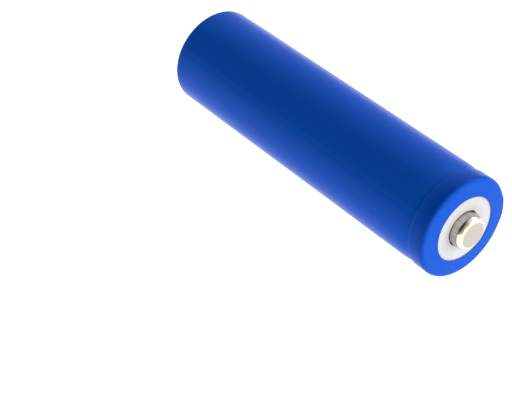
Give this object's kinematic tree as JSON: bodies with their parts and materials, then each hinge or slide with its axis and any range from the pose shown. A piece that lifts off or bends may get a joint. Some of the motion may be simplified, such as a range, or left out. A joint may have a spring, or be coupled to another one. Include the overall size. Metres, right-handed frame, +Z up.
{
  "type": "cylindrical battery cell",
  "caption": "Protected cylindrical lithium-ion cell in a blue heat-shrink sleeve, with a raised positive button and a flat negative end plate.",
  "frame": {"origin": "centre of the outer face of the negative end plate", "axes": "+X along the cell's axis towards the positive button, +Z up with the cell lying down, +Y the side that the hidden nickel strip runs along"},
  "size_m": [0.0698, 0.0188, 0.0186],
  "materials": {
    "sleeve_film": "glossy blue heat-shrink film",
    "nickel_plate": "bright nickel plate on steel",
    "satin_nickel": "satin nickel plate",
    "can_steel": "nickel-plated deep-drawn steel",
    "nickel_strip": "rolled nickel strip",
    "white_ring": "white insulating board",
    "fish_paper": "grey-green fish paper",
    "polyimide_tape": "amber film tape",
    "board_laminate": "green glass-epoxy laminate",
    "spacer_plastic": "black moulded plastic",
    "chip_package": "black moulding compound",
    "tin": "tinned copper",
    "solder": "bright solder",
    "chip_resistor": "black-topped ceramic",
    "chip_capacitor": "tan ceramic",
    "gasket_plastic": "natural polypropylene",
    "ptc_polymer": "conductive polymer, nickel faced",
    "aluminium_sheet": "plain aluminium",
    "separator_film": "white porous film",
    "cathode_coat": "black coating on aluminium foil",
    "anode_coat": "graphite coating on copper foil",
    "winding_tape": "polypropylene tape"
  },
  "bodies": {
    "root": {"outer_sleeve": "sleeve_film", "steel_can": "can_steel", "rim_insulator": "fish_paper", "top_insulator_ring": "white_ring", "positive_button": "nickel_plate", "positive_strip": "nickel_strip", "strip_insulation_tape": "polyimide_tape", "negative_end_plate": "satin_nickel", "protection_board": "board_laminate", "board_spacer_ring": "spacer_plastic", "board_insulator": "fish_paper", "negative_link_strip": "nickel_strip", "mosfet_pair": "chip_package", "protection_ic": "chip_package", "chip_leads": "tin", "board_resistors": "chip_resistor", "board_capacitor": "chip_capacitor", "solder_joints": "solder", "crimp_gasket": "gasket_plastic", "top_cap": "can_steel", "ptc_ring": "ptc_polymer", "vent_disc": "aluminium_sheet", "interrupter_insulator": "gasket_plastic", "interrupter_weld_disc": "aluminium_sheet", "separator_inner": "separator_film", "cathode_sheet": "cathode_coat", "separator_outer": "separator_film", "anode_sheet": "anode_coat", "winding_tape": "winding_tape", "centre_pin": "can_steel", "lower_insulator": "fish_paper", "upper_insulator": "fish_paper", "positive_tab": "aluminium_sheet", "negative_tab": "nickel_strip"}
  },
  "joints": []
}
